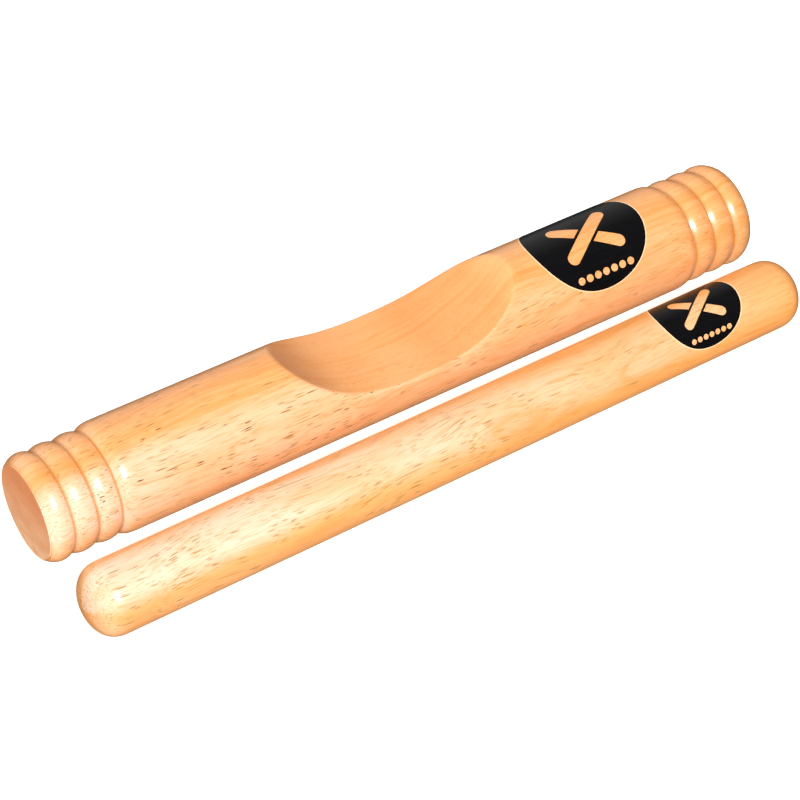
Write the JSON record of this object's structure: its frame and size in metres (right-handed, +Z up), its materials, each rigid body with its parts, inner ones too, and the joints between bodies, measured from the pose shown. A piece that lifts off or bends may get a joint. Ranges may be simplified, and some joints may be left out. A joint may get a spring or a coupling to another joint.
{
  "type": "claves",
  "caption": "Hardwood percussion sticks: a thick resonator with turned end beads and a scooped-out side, struck with a slimmer round-ended stick.",
  "frame": {"origin": "middle of the underside of the pair's common box, on the surface both sticks lie on", "axes": "+X along the resonator towards the end that carries its label, +Y from the striker towards the resonator, +Z up, out of the scoop"},
  "size_m": [0.2868, 0.0738, 0.0395],
  "materials": {
    "resonator_wood": "turned pale rubberwood under clear gloss lacquer, sanded satin in the scoop and bare on the end faces",
    "striker_wood": "turned pale rubberwood under clear gloss lacquer",
    "label_foil": "thin glossy black printed foil with a plain pale motif"
  },
  "bodies": {
    "resonator": {"resonator_clave": "resonator_wood", "resonator_label": "label_foil"},
    "striker": {"striker_clave": "striker_wood", "striker_label": "label_foil"}
  },
  "joints": [
    {"name": "striker_lift", "type": "slide", "parent": "resonator", "child": "striker", "axis": [0, 0, 1], "range_m": [0, 0.12]}
  ]
}
